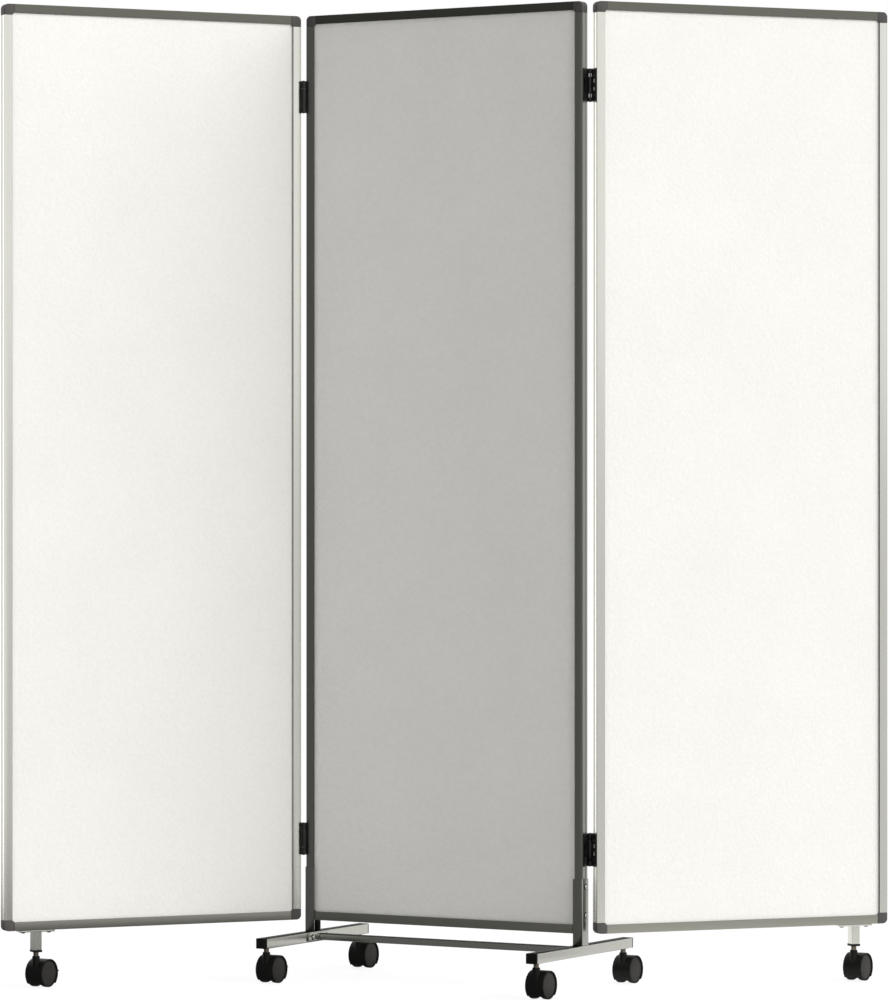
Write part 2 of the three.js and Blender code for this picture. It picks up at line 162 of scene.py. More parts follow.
# %% A finish that makes nodes
class Finish:
    """The node tree of a material or world while it is made."""

    def __init__(self, owner):
        owner.use_nodes = True
        self.owner = owner
        self.tree = owner.node_tree

    def fill(self, node, sockets):
        """Links wires to a node's inputs, and sets the other inputs to plain values."""
        for key, value in sockets.items():
            if isinstance(value, Wire):
                self.tree.links.new(value.socket, node.inputs[key])
            else:
                node.inputs[key].default_value = value

    def node(self, kind, settings=None, sockets=None, output=0):
        """Makes a node, with its settings first, and returns one of its outputs."""
        made = self.tree.nodes.new(kind)
        for key, value in (settings or {}).items():
            setattr(made, key, value)
        self.fill(made, sockets or {})
        return Wire(self, made.outputs[output])

    def places(self, scale, turn=0.0):
        """Object coordinates turned about Z, then counted in repeats a metre along X, Y and Z."""
        plain = self.node("ShaderNodeTexCoord", output=3)
        level = self.node("ShaderNodeMapping", None, {"Vector": plain, "Rotation": (0, 0, -turn)})
        return self.node("ShaderNodeMapping", None, {"Vector": level, "Scale": scale})

    def noise(self, places, detail=3.0, roughness=0.5):
        sockets = {"Vector": places, "Scale": 1.0, "Detail": detail, "Roughness": roughness}
        return self.node("ShaderNodeTexNoise", None, sockets)

    def even_noise(self, repeats, detail=3.0):
        """Noise with the same number of repeats a metre in every direction."""
        return self.noise(self.places([repeats] * 3), detail)

    def mix(self, dark, light, factor):
        sockets = {0: factor, 6: (*dark, 1), 7: (*light, 1)}
        return self.node("ShaderNodeMix", {"data_type": "RGBA"}, sockets, output=2)

    def relief(self, height, depth):
        return self.node("ShaderNodeBump", None, {"Height": height, "Distance": depth, "Strength": 1.0})

    def surface(self, sockets):
        """Fills the sockets of the main shader and returns the material."""
        self.fill(self.tree.nodes["Principled BSDF"], sockets)
        return self.owner

    def watched(self):
        """1 for rays from the camera, a mirror or a window, and 0 for rays that gather light."""
        path = self.node("ShaderNodeLightPath").socket.node
        camera, glossy, through = (
            Wire(self, path.outputs[f"Is {kind} Ray"]) for kind in ("Camera", "Glossy", "Transmission")
        )
        return camera + glossy + through

    def cover(self, factor, shader):
        """Mixes another shader over the main one."""
        main = Wire(self, self.tree.nodes["Principled BSDF"].outputs[0])
        mixed = self.node("ShaderNodeMixShader", None, {0: factor, 1: main, 2: shader})
        self.fill(self.tree.nodes["Material Output"], {"Surface": mixed})


def new_finish(name):
    return Finish(bpy.data.materials.new(name))


def shade(color, factor):
    """A colour made lighter or darker by a factor."""
    return tuple(min(1.0, channel * factor) for channel in color)


print("shader helpers are ready")

# %% [markdown]
# ## Satin aluminium
# The frames, feet and posts are drawn aluminium with a clear anodised skin. Drawing leaves hair-fine
# streaks along the length. Noise that is squeezed across the bar and stretched along it gives them, and
# it varies the tone, the gloss and the relief together. Each direction of drawing needs its own
# material, and on a folded wing the pattern is turned with the fold.
# Drawn grain also spreads reflections across itself. A level rail spreads them up and down, away from
# the bright walls of a room, and so it looks darker than an upright one. Its tone is set darker here as
# painted shade, the top rails darker than the bottom ones, which is simpler and sturdier than a shader
# with a direction.
# The tops of the tubes are seen at a graze, where any metal mirrors all of a white room. Real ones mirror
# the dark parts of a room and show as dark lines. So there the tone is set dark and the shader's tint for
# grazing light is dark: a painted dark reflection.

# %% A drawn metal
STREAKS_ACROSS = 900
STREAKS_ALONG = 5
STREAK_RELIEF = 0.006 * MM
CLOUDS = 9
STREAK_SHARE = 0.7
DARKEST = 0.93
LIGHTEST = 1.05
STREAK_DULLNESS = 0.06
CLOUD_DULLNESS = 0.04


def aluminium(name, tone, along, turn=0.0, roughness=0.24, graze=1.0):
    """Metal drawn along an axis. graze is the tint of what it mirrors at a graze; below 1 it is a painted
    dark reflection.
    """
    finish = new_finish(name)
    scale = [STREAKS_ACROSS] * 3
    scale["XYZ".index(along)] = STREAKS_ALONG
    streaks = finish.noise(finish.places(scale, turn), detail=4.0, roughness=0.6)
    clouds = finish.even_noise(CLOUDS)
    mottle = streaks * STREAK_SHARE + clouds * (1 - STREAK_SHARE)
    smoothest = roughness - (STREAK_DULLNESS + CLOUD_DULLNESS) / 2
    return finish.surface({
        "Base Color": finish.mix(shade(tone, DARKEST), shade(tone, LIGHTEST), mottle),
        "Metallic": 1.0,
        "Specular Tint": (graze, graze, graze, 1),
        "Roughness": smoothest + streaks * STREAK_DULLNESS + clouds * CLOUD_DULLNESS,
        "Normal": finish.relief(streaks, STREAK_RELIEF),
    })


print("streaks are", round(STREAKS_ACROSS / STREAKS_ALONG), "times as long as wide")

# %% Its tones
SILVER = (0.745, 0.745, 0.683)
# Painted shade: the middle panel's frame and its uprights take a darker copy of the same silver
MIDDLE_SHADED_SILVER = shade(SILVER, 0.48)
# Painted shade: the feet take a darker copy of the silver
FEET_SHADED_SILVER = shade(SILVER, 0.67)
# Painted shade: the crossbar takes a darker copy of the silver
BAR_SHADED_SILVER = shade(SILVER, 0.7)
# Painted shade: the level rails are darker than the upright ones, the top rails darkest
BOTTOM_PAINTED_SHADE_TONE = (0.375, 0.37, 0.325)
TOP_PAINTED_SHADE_TONE = (0.158, 0.156, 0.132)
# Painted shade in the slot, on the lips that face the board
LIP_PAINTED_SHADE_TONE = shade(TOP_PAINTED_SHADE_TONE, 0.55)
# Painted dark reflection at a graze, on the top rails and the tops of the feet and the bar
PAINTED_DARK_GRAZE = 0.05
upright_metal = aluminium("aluminium_upright", SILVER, "Z")
middle_shaded_metal = aluminium("aluminium_middle_painted_shade", MIDDLE_SHADED_SILVER, "Z", roughness=0.3)
feet_shaded_metal = aluminium("aluminium_feet_painted_shade", FEET_SHADED_SILVER, "Y")
feet_top_shaded_metal = aluminium("aluminium_feet_top", TOP_PAINTED_SHADE_TONE, "Y", graze=PAINTED_DARK_GRAZE)
bar_shaded_metal = aluminium("aluminium_bar_painted_shade", BAR_SHADED_SILVER, "X")
top_shaded_metals = {
    body: aluminium(f"aluminium_top_painted_shade_{body}", TOP_PAINTED_SHADE_TONE, "X", fold, graze=PAINTED_DARK_GRAZE)
    for body, fold in folds.items()
}
bottom_shaded_metals = {
    body: aluminium(f"aluminium_bottom_painted_shade_{body}", BOTTOM_PAINTED_SHADE_TONE, "X", fold, roughness=0.45)
    for body, fold in folds.items()
}
lip_shaded_metal = aluminium("aluminium_lip_painted_shade", LIP_PAINTED_SHADE_TONE, "Z", roughness=0.4)
print(len([item for item in bpy.data.materials if item.name.startswith("alu")]), "aluminium materials")

# %% [markdown]
# ## Boards, plastics and small metals
# The boards are white laminate with a fine pebbled skin: soft grains a few millimetres wide that barely
# change the tone. The corner connectors and the caster hoods are moulded, with the faint sparkle of an
# etched mould. The hinges are painted black, and the bolts and caster stems are plated steel.

# %% Board, plastics and paint
PEBBLE_SHARE = 0.6
PATCHES = 6
PATCH_DULLNESS = 0.1
MOULDED_SHINE = 0.13


def pebbled(name, color, roughness, grains, depth, spread, shine=0.5):
    """A moulded or laminated surface: pebbles in relief, and a slight unevenness of tone and gloss."""
    finish = new_finish(name)
    pebbles = finish.even_noise(grains, detail=2.0)
    clouds = finish.even_noise(PATCHES, detail=4.0)
    mottle = pebbles * PEBBLE_SHARE + clouds * (1 - PEBBLE_SHARE)
    return finish.surface({
        "Base Color": finish.mix(shade(color, 1 - spread), shade(color, 1 + spread), mottle),
        "Roughness": roughness - PATCH_DULLNESS / 2 + clouds * PATCH_DULLNESS,
        "Specular IOR Level": shine,
        "Normal": finish.relief(pebbles, depth),
    })


board_white = pebbled(
    "board_white", (0.905, 0.896, 0.868), roughness=0.62, grains=170, depth=0.5 * MM, spread=0.085,
)
corner_grey = pebbled(
    "corner_grey", (0.088, 0.083, 0.081), roughness=0.55, grains=1400, depth=0.012 * MM, spread=0.06,
    shine=0.2,
)
hood_black = pebbled(
    "hood_black", (0.0085, 0.0085, 0.008), roughness=0.42, grains=1100, depth=0.012 * MM, spread=0.1,
    shine=MOULDED_SHINE,
)
disc_grey = pebbled(
    "disc_grey", (0.027, 0.026, 0.024), roughness=0.5, grains=900, depth=0.01 * MM, spread=0.08,
    shine=MOULDED_SHINE,
)
tyre_black = pebbled(
    "tyre_black", (0.008, 0.008, 0.008), roughness=0.72, grains=500, depth=0.03 * MM, spread=0.25,
    shine=MOULDED_SHINE,
)
hinge_black = pebbled(
    "hinge_black", (0.008, 0.007, 0.007), roughness=0.38, grains=700, depth=0.015 * MM, spread=0.15,
)
print("the board takes", board_white.name)

# %% Plated steel
PLATING_CLOUDS = 160
PLATING_DARKEST = 0.8
PLATING_DULLNESS = 0.12


def plated(name, tone, roughness):
    """Bright metal with faint clouds in its tone and gloss."""
    finish = new_finish(name)
    clouds = finish.even_noise(PLATING_CLOUDS, detail=4.0)
    return finish.surface({
        "Base Color": finish.mix(shade(tone, PLATING_DARKEST), tone, clouds),
        "Metallic": 1.0,
        "Roughness": roughness + clouds * PLATING_DULLNESS,
    })


steel = plated("steel", (0.93, 0.92, 0.88), roughness=0.18)
brassy_steel = plated("brassy_steel", (0.2, 0.172, 0.14), roughness=0.3)
print("the bolts take", steel.name, "and the caster stems", brassy_steel.name)

# %% [markdown]
# ## Tools for making solids
# Most pieces are bars, plates or turned parts. A bar is an outline that is extruded: the corners of the
# outline are rounded first, which rounds the long edges for the price of a flat face. A turned part is
# an outline that is spun. Sharp edges that are left get a small bevel, because an edge that catches
# no light looks like a drawing. A hole with a shape of its own is cut with a Boolean.

# %% Outlines
def outline(points, rounds=None, segments=5):
    """A flat face in X and Y. rounds maps the number of a corner to its radius."""
    bm = bmesh.new()
    corners = [bm.verts.new((x, y, 0)) for x, y in points]
    bm.faces.new(corners)
    for number, radius in (rounds or {}).items():
        bmesh.ops.bevel(
            bm, geom=[corners[number]], offset=radius, offset_type="OFFSET", segments=segments,
            profile=0.5, affect="VERTICES", material=-1,
        )
    return bm


def plate(width, depth, radius):
    """The outline of a rectangle round the origin, with round corners."""
    x, y = width / 2, depth / 2
    return outline([(-x, -y), (x, -y), (x, y), (-x, y)], dict.fromkeys(range(4), radius))


def arc(radius, start, sweep, steps):
    """Points along an arc round the origin, both ends included."""
    angles = [start + sweep * step / steps for step in range(steps + 1)]
    return [(radius * math.cos(angle), radius * math.sin(angle)) for angle in angles]


print("a quarter of a circle in 6 steps has", len(arc(1, 0, math.pi / 2, 6)), "points")


# %% Bars, tubes and boxes
def raised(bm, height):
    """Extrudes a flat face, or a ring of faces, along +Z into a solid."""
    grown = bmesh.ops.extrude_face_region(bm, geom=bm.faces[:])["geom"]
    top = [item for item in grown if isinstance(item, bmesh.types.BMVert)]
    bmesh.ops.translate(bm, verts=top, vec=(0, 0, height))
    bmesh.ops.recalc_face_normals(bm, faces=bm.faces[:])
    return bm


def tube(width, depth, wall, radius, length):
    """A square tube along +Z, open at both ends."""
    bm = plate(width, depth, radius)
    ring = bmesh.ops.inset_region(
        bm, faces=bm.faces[:], thickness=wall, use_even_offset=True, use_boundary=True,
    )["faces"]
    inside = [face for face in bm.faces if face not in ring]
    bmesh.ops.delete(bm, geom=inside, context="FACES_ONLY")
    return raised(bm, length)


def block(low, high):
    """A box from its lowest to its highest corner."""
    bm = bmesh.new()
    low, high = Vector(low), Vector(high)
    stretch = Matrix.Translation((low + high) / 2) @ Matrix.Diagonal((*(high - low), 1))
    bmesh.ops.create_cube(bm, size=1, matrix=stretch)
    return bm


print("a box has", len(block((0, 0, 0), (1, 1, 1)).faces), "faces")


# %% Turned parts
def turned(points, rounds, steps):
    """A solid turned about Z. The points of its outline are (radius, height)."""
    bm = outline(points, rounds, segments=4)
    bmesh.ops.delete(bm, geom=bm.faces[:], context="FACES_ONLY")
    on_axis = [edge for edge in bm.edges if all(abs(vertex.co.x) < TINY for vertex in edge.verts)]
    bmesh.ops.delete(bm, geom=on_axis, context="EDGES")
    bmesh.ops.transform(bm, matrix=basis(X, Z, -Y), verts=bm.verts[:])
    bmesh.ops.spin(
        bm, geom=bm.verts[:] + bm.edges[:], cent=(0, 0, 0), axis=Z, angle=2 * math.pi, steps=steps,
        use_merge=True,
    )
    bmesh.ops.remove_doubles(bm, verts=bm.verts[:], dist=TINY)
    bmesh.ops.recalc_face_normals(bm, faces=bm.faces[:])
    return bm


print("a cone turned in 12 steps has", len(turned([(0, 0), (1, 0), (0, 1)], None, 12).faces), "faces")

# %% Softened edges, places and joins
SMOOTH_ANGLE = math.radians(35)


def soften(bm, width, segments=2):
    """Rounds every sharp edge of a solid a little."""
    sharp = [edge for edge in bm.edges if edge.is_manifold and edge.calc_face_angle() > SMOOTH_ANGLE]
    bmesh.ops.bevel(
        bm, geom=sharp, offset=width, offset_type="OFFSET", segments=segments, profile=0.5,
        affect="EDGES", clamp_overlap=True, material=-1,
    )
    return bm


def moved(bm, matrix):
    """Moves a mesh under construction and hands it back."""
    bmesh.ops.transform(bm, matrix=matrix, verts=bm.verts[:])
    return bm


def joined(first, *others):
    """Adds other solids to a first one, as one mesh."""
    for other in others:
        mesh = bpy.data.meshes.new("part")
        other.to_mesh(mesh)
        other.free()
        first.from_mesh(mesh)
        bpy.data.meshes.remove(mesh)
    return first


print("an edge is sharp from", round(math.degrees(SMOOTH_ANGLE)), "degrees")


# %% Objects and cuts
def new_object(name, bm, material=None):
    """Puts a mesh under construction into the scene as an object."""
    mesh = bpy.data.meshes.new(name)
    bm.to_mesh(mesh)
    bm.free()
    if material:
        mesh.materials.append(material)
    made = bpy.data.objects.new(name, mesh)
    scene.collection.objects.link(made)
    return made


def cut(bm, tool):
    """Cuts one solid out of another, with a modifier on two objects that go away again."""
    solid, cutter = new_object("solid", bm), new_object("cutter", tool)
    modifier = solid.modifiers.new("cut", "BOOLEAN")
    modifier.operation = "DIFFERENCE"
    modifier.solver = "EXACT"
    modifier.object = cutter
    result = bmesh.new()
    result.from_object(solid, bpy.context.evaluated_depsgraph_get())
    for holder in (solid, cutter):
        mesh = holder.data
        bpy.data.objects.remove(holder)
        bpy.data.meshes.remove(mesh)
    return result


# %% Pieces
def add_piece(name, bm, material, body, place=Matrix.Identity(4), node=None):
    """Turns a finished shape into a piece in its place, on its body, standing for its CAD node."""
    piece = new_object(name, moved(bm, place), material)
    piece.data.shade_smooth()
    piece.data.set_sharp_from_angle(angle=SMOOTH_ANGLE)
    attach(piece, body)
    if node:
        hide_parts(node)
    return piece


def outer_corner(low, high, inwards):
    """The corner of a box from which the given directions lead inwards, half way through its depth."""
    corner = Vector([high[i] if inwards[i] < 0 else low[i] for i in range(3)])
    corner.y = (low.y + high.y) / 2
    return corner


# %% [markdown]
# ## Frames
# A rail is an extrusion with a slot for the board on its inside and a shallow groove along its outside.
# Its section is drawn once, from the outer edge towards the board. Where it lies is read from its CAD
# node: the section's X points inwards from the edge of the panel, and its Z runs along the rail.
# The lips of the slot face the board, where a line of shade shows, so their faces get a darker metal:
# painted shade.

# %% Rails
RAIL_FACE = 16 * MM
RAIL_DEPTH = 20 * MM
SLOT_HALF = 6.3 * MM
SLOT_FLOOR = 8 * MM
GROOVE_HALF = 5 * MM
GROOVE_DEPTH = 1 * MM
RAIL_EDGE = 0.45 * MM
# The least cosine between a face and the direction that it is said to look in
FACING = 0.6
PANELS = {
    "stand": ("middle_panel", "left", "right"),
    "left_wing": ("left_panel", "outer", "inner"),
    "right_wing": ("right_panel", "inner", "outer"),
}


def rail_section():
    """The outline of a rail, with X from its outer edge towards the board."""
    half = RAIL_DEPTH / 2
    points = [
        (0, -half), (RAIL_FACE, -half), (RAIL_FACE, -SLOT_HALF), (SLOT_FLOOR, -SLOT_HALF),
        (SLOT_FLOOR, SLOT_HALF), (RAIL_FACE, SLOT_HALF), (RAIL_FACE, half), (0, half),
        (0, GROOVE_HALF), (GROOVE_DEPTH, GROOVE_HALF), (GROOVE_DEPTH, -GROOVE_HALF), (0, -GROOVE_HALF),
    ]
    return outline(points, dict.fromkeys(range(len(points)), RAIL_EDGE), segments=3)


def darken(piece, metal, direction):
    """Gives the faces that look roughly in a direction a metal of their own, a darker one for painted shade
    or a painted dark reflection.
    """
    piece.data.materials.append(metal)
    for face in piece.data.polygons:
        if face.normal.dot(direction) > FACING:
            face.material_index = 1


def add_rail(node, body, metal, inwards, along):
    """Lays the section along a rail's CAD node and returns the rail's length."""
    low, high = measure(node, body)
    length = (high - low).dot(along)
    place = axes[body] @ basis(inwards, along.cross(inwards), along, outer_corner(low, high, inwards))
    bar = raised(rail_section(), length)
    rail = add_piece(f"{node}_bar", bar, metal, body, place, node)
    # Painted shade on the lips that face the board
    darken(rail, lip_shaded_metal, axes[body].to_3x3() @ inwards)
    return length


lengths = []
for body, (prefix, low_side, high_side) in PANELS.items():
    # The middle panel's rails take the silver in painted shade
    metal = middle_shaded_metal if body == "stand" else upright_metal
    lengths.append(add_rail(f"{prefix}_{low_side}_rail", body, metal, X, Z))
    lengths.append(add_rail(f"{prefix}_{high_side}_rail", body, metal, -X, Z))
    # Level rails take darker tones, the top ones darkest: painted shade
    lengths.append(add_rail(f"{prefix}_bottom_rail", body, bottom_shaded_metals[body], Z, X))
    lengths.append(add_rail(f"{prefix}_top_rail", body, top_shaded_metals[body], -Z, X))
print(len(lengths), "rails, from", round(min(lengths), 3), "to", round(max(lengths), 3), "m long")

# %% [markdown]
# ## Corner connectors
# Each corner is a moulded elbow: round on the outside of the panel, cut at a slant on the inside, and
# slotted for the corner of the board. One elbow is made from its outline, and each copy is laid along
# the two edges that meet there. Turning it keeps it right way out, where mirroring would not.

# %% Corners
LEG = 20 * MM
ELBOW_RADIUS = 9 * MM
ELBOW_EDGE = 0.7 * MM


def elbow():
    """A connector with its outer corner at the origin and its legs along X and Y."""
    points = [(0, 0), (LEG, 0), (LEG, RAIL_FACE), (RAIL_FACE, LEG), (0, LEG)]
    bm = raised(outline(points, {0: ELBOW_RADIUS}, segments=10), RAIL_DEPTH)
    soften(moved(bm, Matrix.Translation((0, 0, -RAIL_DEPTH / 2))), ELBOW_EDGE, segments=3)
    slot = block((SLOT_FLOOR, SLOT_FLOOR, -SLOT_HALF), (2 * LEG, 2 * LEG, SLOT_HALF))
    return cut(bm, slot)


pattern = elbow()
for body, (prefix, low_side, high_side) in PANELS.items():
    for node, first, second in (
        (f"{prefix}_bottom_{low_side}_corner", X, Z),
        (f"{prefix}_bottom_{high_side}_corner", Z, -X),
        (f"{prefix}_top_{high_side}_corner", -X, -Z),
        (f"{prefix}_top_{low_side}_corner", -Z, X),
    ):
        corner = outer_corner(*measure(node, body), first + second)
        place = axes[body] @ basis(first, second, first.cross(second), corner)
        add_piece(f"{node}_elbow", pattern.copy(), corner_grey, body, place, node)
print("each elbow has", len(pattern.faces), "faces")
pattern.free()

# %% [markdown]
# ## Boards
# A board is a flat sheet whose edges are hidden in the frame, so the CAD solid is already its true
# shape. It keeps that solid and only gets the pebbled laminate.

# %% Boards
for prefix, _, _ in PANELS.values():
    board = frame["nodes"][f"{prefix}_board"]
    board.data.materials.clear()
    board.data.materials.append(board_white)
low, high = measure("middle_panel_board")
print("the middle board is", [round(size / MM) for size in high - low], "mm")

# %% [markdown]
# ## Screws and bolts
# Heads of three sizes show: button heads on the base, slightly wider black ones under the flanges, and thin
# ones on the hinges. All of them are turned, and the socket is cut with a six-sided peg.

# %% Heads of screws
SOCKET_SIDES = 6
SOCKET_SHARE = 0.45
CROWN_SHARE = 0.75
HEAD_STEPS = 28


def screw_head(radius, height):
    """A head that stands on the plane Z = 0, with a socket in its crown."""
    points = [(0, 0), (radius, 0), (radius, height), (0, height)]
    bm = turned(points, {2: CROWN_SHARE * height}, HEAD_STEPS)
    socket = SOCKET_SHARE * radius
    peg = bmesh.new()
    bmesh.ops.create_cone(
        peg, cap_ends=True, segments=SOCKET_SIDES, radius1=socket, radius2=socket, depth=height,
        matrix=Matrix.Translation((0, 0, height)),
    )
    return cut(bm, peg)


def add_heads(name, head, places, out, body, material=steel):
    """Copies of a head at several places, all facing one way, as one piece. Places are in body axes."""
    across = (X if out.z else Z).cross(out)
    heads = [moved(head.copy(), basis(across, out.cross(across), out, place)) for place in places]
    head.free()
    add_piece(name, joined(bmesh.new(), *heads), material, body, axes[body])


print("a socket has", SOCKET_SIDES, "sides")

# %% Bolts and rings of painted shade
BOLT_RADIUS = 4 * MM
BOLT_HEIGHT = 2.2 * MM
# A black ring under each bolt's head stands in for the shade round it: painted shade
SHADE_RING_INNER = 3.6 * MM
SHADE_RING_OUTER = 5.4 * MM
SHADE_RING_THICKNESS = 0.8 * MM
SHADE_RING_EDGE = 0.3 * MM


def shade_ring():
    """A black ring that stands on the plane Z = 0: painted shade round a bolt's head, in the shape of a
    washer.
    """
    points = [
        (SHADE_RING_INNER, 0), (SHADE_RING_OUTER, 0),
        (SHADE_RING_OUTER, SHADE_RING_THICKNESS), (SHADE_RING_INNER, SHADE_RING_THICKNESS),
    ]
    return turned(points, {2: SHADE_RING_EDGE}, HEAD_STEPS)


def add_bolts(name, places, out):
    """Button-head bolts on the base, each sunk half way into a black ring of painted shade."""
    add_heads(f"{name}_shade_rings", shade_ring(), places, out, "stand", hood_black)
    lifted = [place + out * SHADE_RING_THICKNESS / 2 for place in places]
    add_heads(name, screw_head(BOLT_RADIUS, BOLT_HEIGHT), lifted, out, "stand")


print("a bolt with its washer stands", round((SHADE_RING_THICKNESS / 2 + BOLT_HEIGHT) / MM, 1), "mm proud")

# %% [markdown]
# ## The base of the middle panel
# A foot is a square tube with a plastic cap at each end. A U-shaped channel is welded on it and holds
# the side rail, with two bolts through its outer side. A bar between the feet ends in plates, each
# bolted to a foot. The tubes are really hollow here: a ring of faces is extruded, not a full one.

# %% Feet and their caps
TUBE_WALL = 1.5 * MM
TUBE_EDGE = 1.4 * MM
CAP_EDGE = 1.3 * MM
FOOT_CAP_ROUND = 0.52 * MM
for side in ("left", "right"):
    head_low, head_high = measure(f"{side}_foot_back_cap")
    tube_low, tube_high = measure(f"{side}_foot")
    height = head_high.z - head_low.z
    width = head_high.x - head_low.x
    middle = Vector(((head_low.x + head_high.x) / 2, tube_low.y, head_low.z + height / 2))
    length = tube_high.y - tube_low.y
    bar = tube(width, height, TUBE_WALL, TUBE_EDGE, length)
    node = f"{side}_foot"
    # The foot takes the silver in painted shade, and its top faces a painted dark reflection
    foot = add_piece(f"{node}_tube", bar, feet_shaded_metal, "stand", basis(X, -Z, Y, middle), node)
    darken(foot, feet_top_shaded_metal, Z)
    thickness = head_high.y - tube_high.y
    for end, out, y in (("front", -Y, tube_low.y), ("back", Y, tube_high.y)):
        node = f"{side}_foot_{end}_cap"
        cap = soften(raised(plate(width, height, CAP_EDGE), thickness), FOOT_CAP_ROUND, segments=3)
        place = basis(X * out.y, -Z, out, (middle.x, y, middle.z))
        add_piece(f"{node}_head", cap, hood_black, "stand", place, node)
print("a foot is", round(length / MM), "mm long without its caps")

# %% Uprights
CHANNEL_FLANGE = 20.5 * MM
CHANNEL_SHEET = 1.5 * MM
CHANNEL_BEND = 2.2 * MM
CHANNEL_HALF = 11.8 * MM
CHANNEL_EDGE = 0.25 * MM
BOLT_DROPS = (14 * MM, 66 * MM)


def channel_section():
    """A U whose back lies on X = 0 and whose flanges point to -X."""
    half = CHANNEL_HALF
    inner = CHANNEL_HALF - CHANNEL_SHEET
    points = [
        (-CHANNEL_FLANGE, -half), (0, -half), (0, half), (-CHANNEL_FLANGE, half),
        (-CHANNEL_FLANGE, inner), (-CHANNEL_SHEET, inner),
        (-CHANNEL_SHEET, -inner), (-CHANNEL_FLANGE, -inner),
    ]
    inside = CHANNEL_BEND - CHANNEL_SHEET
    return outline(points, {1: CHANNEL_BEND, 2: CHANNEL_BEND, 5: inside, 6: inside})


rail_low, rail_high = measure("middle_panel_left_rail")
middle_y = (rail_low.y + rail_high.y) / 2
for side, out in (("left", -X), ("right", X)):
    low, high = measure(f"{side}_foot")
    foot_top = measure(f"{side}_foot_back_cap")[1].z
    back = Vector((low.x if out.x < 0 else high.x, middle_y, foot_top))
    channel = soften(raised(channel_section(), high.z - foot_top), CHANNEL_EDGE)
    place = basis(out, Y * out.x, Z, back)
    # The upright takes the silver in painted shade, as the middle frame does
    add_piece(f"{side}_upright", channel, middle_shaded_metal, "stand", place, f"{side}_foot")
    places = [Vector((back.x, middle_y, high.z - drop)) for drop in BOLT_DROPS]
    add_bolts(f"{side}_upright_bolts", places, out)
print("an upright is", round((high.z - foot_top) / MM), "mm high")

# %% Crossbar
BAR_DEPTH = 20 * MM
BAR_HEIGHT = 12 * MM
PLATE_THICKNESS = 3 * MM
PLATE_CORNER = 3 * MM
PLATE_EDGE = 0.4 * MM
PLATE_BOLT_SPREAD = 24 * MM
low, high = measure("crossbar")
centre = (low + high) / 2
inner_length = high.x - low.x - 2 * PLATE_THICKNESS
bar = moved(
    tube(BAR_DEPTH, BAR_HEIGHT, TUBE_WALL, TUBE_EDGE, inner_length),
    basis(Y, Z, X, (low.x + PLATE_THICKNESS, centre.y, centre.z)),
)
for x in (low.x, high.x - PLATE_THICKNESS):
    end = raised(plate(high.y - low.y, high.z - low.z, PLATE_CORNER), PLATE_THICKNESS)
    joined(bar, moved(soften(end, PLATE_EDGE), basis(Y, Z, X, (x, centre.y, centre.z))))
# The bar takes the silver in painted shade, and its top face a painted dark reflection
crossbar = add_piece("crossbar_tube", bar, bar_shaded_metal, "stand", node="crossbar")
darken(crossbar, top_shaded_metals["stand"], Z)
for side, x, out in (("left", low.x + PLATE_THICKNESS, X), ("right", high.x - PLATE_THICKNESS, -X)):
    spread = (-PLATE_BOLT_SPREAD, PLATE_BOLT_SPREAD)
    places = [Vector((x, centre.y + reach, centre.z)) for reach in spread]
    add_bolts(f"{side}_crossbar_bolts", places, out)
print("the bar between the plates is", round(inner_length / MM), "mm long")

# %% [markdown]
# ## Wing posts
# A wing stands on one short post. A flange on top of the post is screwed under the bottom rail, and a
# plastic cap closes the tube below and takes the stem of the caster.

# %% Wing posts
POST_WIDTH = 16 * MM
FLANGE_THICKNESS = 3 * MM
FLANGE_CORNER = 2 * MM
FLANGE_EDGE = 0.5 * MM
FLANGE_SCREW_SPREAD = 25 * MM
FLANGE_SCREW_RADIUS = 4.2 * MM
FLANGE_SCREW_HEIGHT = 2.4 * MM
POST_CAP_HEIGHT = 4 * MM
POST_CAP_LIP = 0.6 * MM
POST_CAP_ROUND = 0.65 * MM
for side in ("left", "right"):
    body = f"{side}_wing"
    low, high = measure(f"{body}_post", body)
    middle = (low + high) / 2
    depth = high.y - low.y
    under = high.z - FLANGE_THICKNESS
    post = tube(POST_WIDTH, depth, TUBE_WALL, TUBE_EDGE, under - low.z)
    moved(post, Matrix.Translation((middle.x, middle.y, low.z)))
    flange = soften(raised(plate(high.x - low.x, depth, FLANGE_CORNER), FLANGE_THICKNESS), FLANGE_EDGE)
    joined(post, moved(flange, Matrix.Translation((middle.x, middle.y, under))))
    add_piece(f"{body}_post_tube", post, upright_metal, body, axes[body], f"{body}_post")
    node = f"{body}_post_cap"
    bottom = measure(node, body)[0].z
    cap = plate(POST_WIDTH + 2 * POST_CAP_LIP, depth + 2 * POST_CAP_LIP, CAP_EDGE)
    soften(raised(cap, POST_CAP_HEIGHT), POST_CAP_ROUND, segments=3)
    moved(cap, Matrix.Translation((middle.x, middle.y, bottom)))
    add_piece(f"{node}_head", cap, hood_black, body, axes[body], node)
    screw = screw_head(FLANGE_SCREW_RADIUS, FLANGE_SCREW_HEIGHT)
    spread = (-FLANGE_SCREW_SPREAD, FLANGE_SCREW_SPREAD)
    places = [Vector((middle.x + reach, middle.y, under)) for reach in spread]
    add_heads(f"{body}_flange_screws", screw, places, -Z, body, hinge_black)
print("a post is", round((under - low.z) / MM), "mm high under its flange")

# %% [markdown]
# ## Hinges
# A leaf lies on the side of each rail, with a window in it and two screws, and its knuckles stand behind
# the corner of the frame. The pin belongs to the leaf on the middle panel. Both leaves are made
# round the hinge's axis. The left hinges are the right ones turned half round, not mirrored.
# Between its knuckles a leaf has a cheek, a piece of sleeve round the pin. On the upper right hinge light
# shows between cheek and pin, so the cheeks stand off there and lie close on the lower one. On the left
# hinges one long cheek closes the whole back of the pin.

